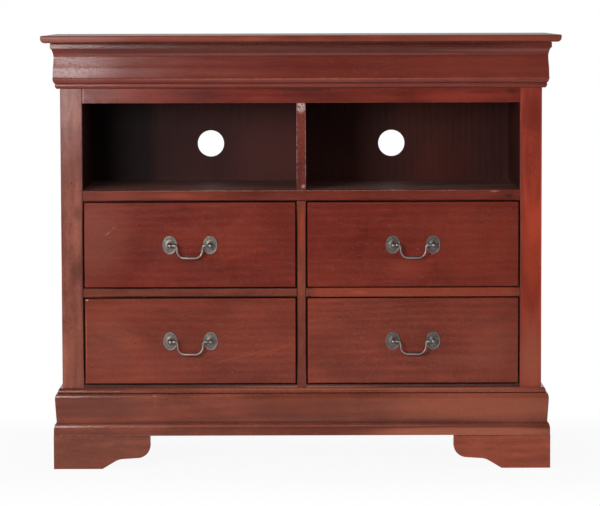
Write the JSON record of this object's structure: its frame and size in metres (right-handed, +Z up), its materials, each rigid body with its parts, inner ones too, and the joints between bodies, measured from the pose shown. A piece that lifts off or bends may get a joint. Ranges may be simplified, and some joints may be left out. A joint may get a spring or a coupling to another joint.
{
  "type": "media chest",
  "caption": "Low wooden case with open media bays over inset drawers with bail pulls, a moulded crown under a flat top, and a moulded base on bracket feet.",
  "frame": {"origin": "on the floor, under the middle of the top board", "axes": "+X to the right as seen from the front, -Y towards the viewer, +Z up"},
  "size_m": [1.061, 0.406, 0.892],
  "materials": {
    "cherry_top": "semi-gloss red-brown cherry lacquer",
    "cherry_frame": "semi-gloss red-brown cherry lacquer",
    "cherry_moulding": "semi-gloss red-brown cherry lacquer, worn on the arrises",
    "cherry_panel": "semi-gloss red-brown cherry lacquer",
    "cherry_drawer": "semi-gloss deep red cherry lacquer",
    "interior_board": "satin dark cherry stain",
    "back_board": "dull dark cherry stain",
    "runner_wood": "bare hardwood",
    "drawer_wood": "clear-sealed hardwood",
    "drawer_ply": "clear-sealed plywood",
    "pewter": "aged pewter"
  },
  "bodies": {
    "case": {"top_board": "cherry_top", "stile_left": "cherry_frame", "stile_right": "cherry_frame", "top_rail": "cherry_frame", "shelf_rail": "cherry_frame", "centre_stile": "cherry_frame", "drawer_rails": "cherry_frame", "bottom_rail": "cherry_frame", "bay_divider": "cherry_frame", "crown_front": "cherry_moulding", "crown_left": "cherry_moulding", "crown_right": "cherry_moulding", "base_front": "cherry_moulding", "base_left": "cherry_moulding", "base_right": "cherry_moulding", "front_foot_left": "cherry_moulding", "front_foot_right": "cherry_moulding", "rear_foot_left": "cherry_moulding", "rear_foot_right": "cherry_moulding", "side_panel_left": "cherry_panel", "side_panel_right": "cherry_panel", "media_shelf": "interior_board", "bay_ceiling": "interior_board", "bay_linings": "interior_board", "centre_partition": "interior_board", "case_bottom": "interior_board", "back_panel": "back_board", "drawer_runners": "runner_wood"},
    "upper_left_drawer": {"upper_left_drawer_front": "cherry_drawer", "upper_left_drawer_left_side": "drawer_wood", "upper_left_drawer_right_side": "drawer_wood", "upper_left_drawer_back": "drawer_wood", "upper_left_drawer_bottom": "drawer_ply", "upper_left_drawer_rosettes": "pewter", "upper_left_drawer_posts": "pewter"},
    "upper_left_bail": {"upper_left_bail": "pewter"},
    "upper_right_drawer": {"upper_right_drawer_front": "cherry_drawer", "upper_right_drawer_left_side": "drawer_wood", "upper_right_drawer_right_side": "drawer_wood", "upper_right_drawer_back": "drawer_wood", "upper_right_drawer_bottom": "drawer_ply", "upper_right_drawer_rosettes": "pewter", "upper_right_drawer_posts": "pewter"},
    "upper_right_bail": {"upper_right_bail": "pewter"},
    "lower_left_drawer": {"lower_left_drawer_front": "cherry_drawer", "lower_left_drawer_left_side": "drawer_wood", "lower_left_drawer_right_side": "drawer_wood", "lower_left_drawer_back": "drawer_wood", "lower_left_drawer_bottom": "drawer_ply", "lower_left_drawer_rosettes": "pewter", "lower_left_drawer_posts": "pewter"},
    "lower_left_bail": {"lower_left_bail": "pewter"},
    "lower_right_drawer": {"lower_right_drawer_front": "cherry_drawer", "lower_right_drawer_left_side": "drawer_wood", "lower_right_drawer_right_side": "drawer_wood", "lower_right_drawer_back": "drawer_wood", "lower_right_drawer_bottom": "drawer_ply", "lower_right_drawer_rosettes": "pewter", "lower_right_drawer_posts": "pewter"},
    "lower_right_bail": {"lower_right_bail": "pewter"}
  },
  "joints": [
    {"name": "upper_left_drawer_slide", "type": "slide", "parent": "case", "child": "upper_left_drawer", "axis": [0, -1, 0], "range_m": [0, 0.26]},
    {"name": "upper_left_bail_swing", "type": "hinge", "parent": "upper_left_drawer", "child": "upper_left_bail", "pos_m": [-0.2295, -0.178, 0.4618], "axis": [-1, 0, 0], "range_deg": [-15, 95]},
    {"name": "upper_right_drawer_slide", "type": "slide", "parent": "case", "child": "upper_right_drawer", "axis": [0, -1, 0], "range_m": [0, 0.26]},
    {"name": "upper_right_bail_swing", "type": "hinge", "parent": "upper_right_drawer", "child": "upper_right_bail", "pos_m": [0.2295, -0.178, 0.4618], "axis": [-1, 0, 0], "range_deg": [-15, 95]},
    {"name": "lower_left_drawer_slide", "type": "slide", "parent": "case", "child": "lower_left_drawer", "axis": [0, -1, 0], "range_m": [0, 0.26]},
    {"name": "lower_left_bail_swing", "type": "hinge", "parent": "lower_left_drawer", "child": "lower_left_bail", "pos_m": [-0.2295, -0.178, 0.263], "axis": [-1, 0, 0], "range_deg": [-15, 95]},
    {"name": "lower_right_drawer_slide", "type": "slide", "parent": "case", "child": "lower_right_drawer", "axis": [0, -1, 0], "range_m": [0, 0.26]},
    {"name": "lower_right_bail_swing", "type": "hinge", "parent": "lower_right_drawer", "child": "lower_right_bail", "pos_m": [0.2295, -0.178, 0.263], "axis": [-1, 0, 0], "range_deg": [-15, 95]}
  ]
}
